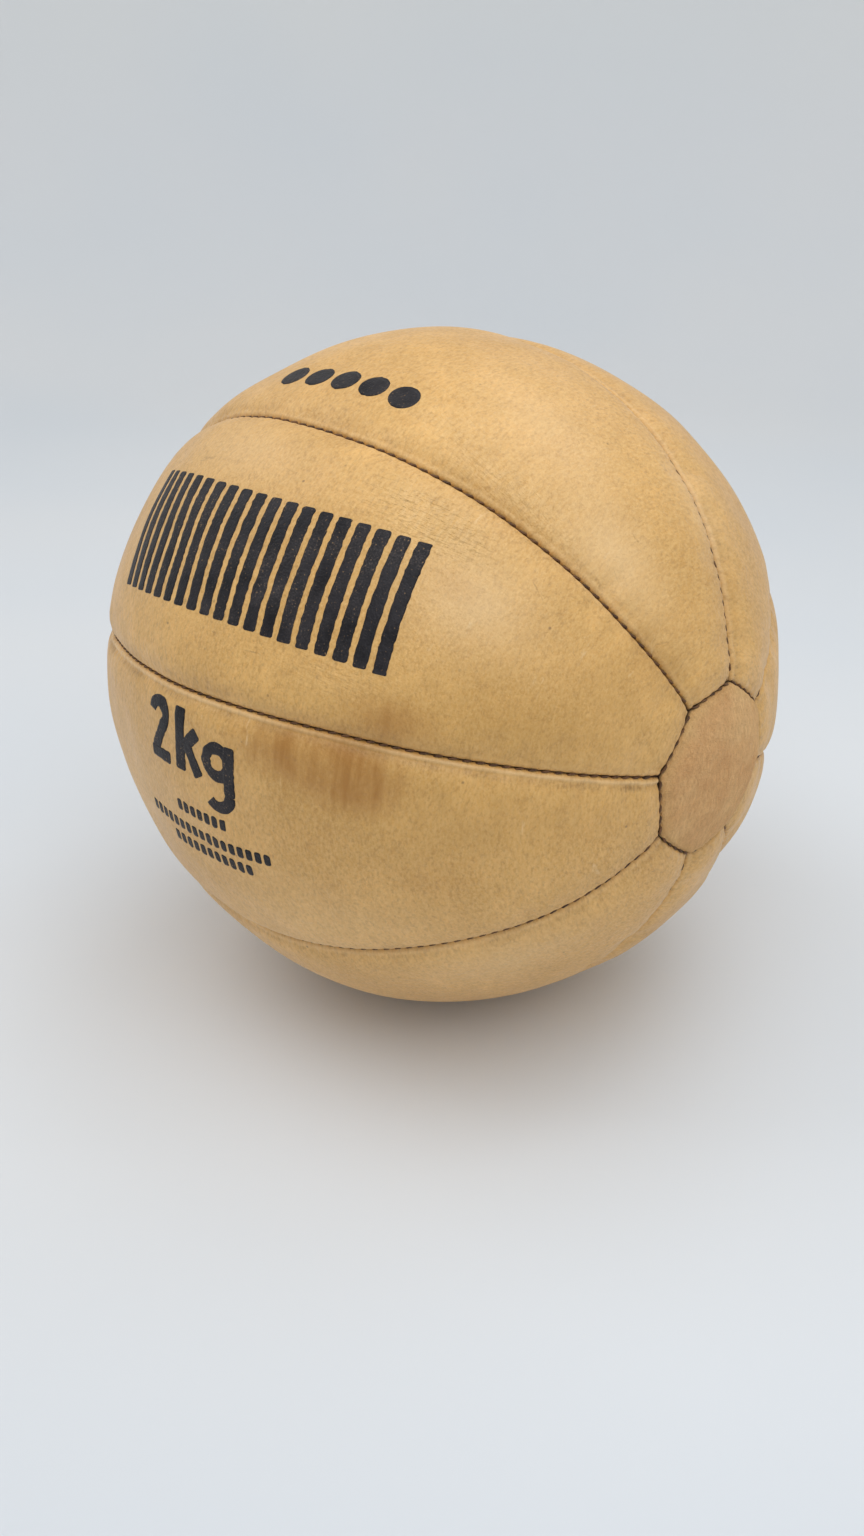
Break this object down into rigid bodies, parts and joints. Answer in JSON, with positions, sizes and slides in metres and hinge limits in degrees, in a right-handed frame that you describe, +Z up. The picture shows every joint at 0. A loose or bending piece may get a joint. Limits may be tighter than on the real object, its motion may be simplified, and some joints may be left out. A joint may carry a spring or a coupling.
{
  "type": "medicine ball",
  "caption": "Vintage stitched leather medicine ball: tan gores running from pole to pole, closed by octagonal end caps and packed with hair, settled on a small flat foot.",
  "frame": {"origin": "on the floor under the centre of the ball, in the middle of the flat foot on which it has settled", "axes": "+X along the line through the two end caps, +Z up, +Y level and square to both"},
  "size_m": [0.27, 0.27, 0.267],
  "materials": {
    "panel_leather": "satin",
    "cap_leather": "matte",
    "canvas": "matte",
    "sewing_thread": "matte",
    "closing_thread": "matte",
    "hair": "matte"
  },
  "bodies": {
    "root": {"panel_1": "panel_leather", "panel_2": "panel_leather", "panel_3": "panel_leather", "panel_4": "panel_leather", "panel_5": "panel_leather", "panel_6": "panel_leather", "panel_7": "panel_leather", "panel_8": "panel_leather", "end_cap_right": "cap_leather", "end_cap_left": "cap_leather", "lining_1": "canvas", "lining_2": "canvas", "lining_3": "canvas", "lining_4": "canvas", "lining_5": "canvas", "lining_6": "canvas", "lining_7": "canvas", "lining_8": "canvas", "cap_lining_right": "canvas", "cap_lining_left": "canvas", "seam_thread_1": "sewing_thread", "seam_thread_2": "sewing_thread", "seam_thread_3": "sewing_thread", "seam_thread_4": "sewing_thread", "seam_thread_5": "sewing_thread", "seam_thread_6": "sewing_thread", "seam_thread_7": "sewing_thread", "seam_thread_8": "sewing_thread", "cap_thread_right": "sewing_thread", "cap_thread_left": "sewing_thread", "closing_thread": "closing_thread", "hair_filling": "hair"}
  },
  "joints": []
}
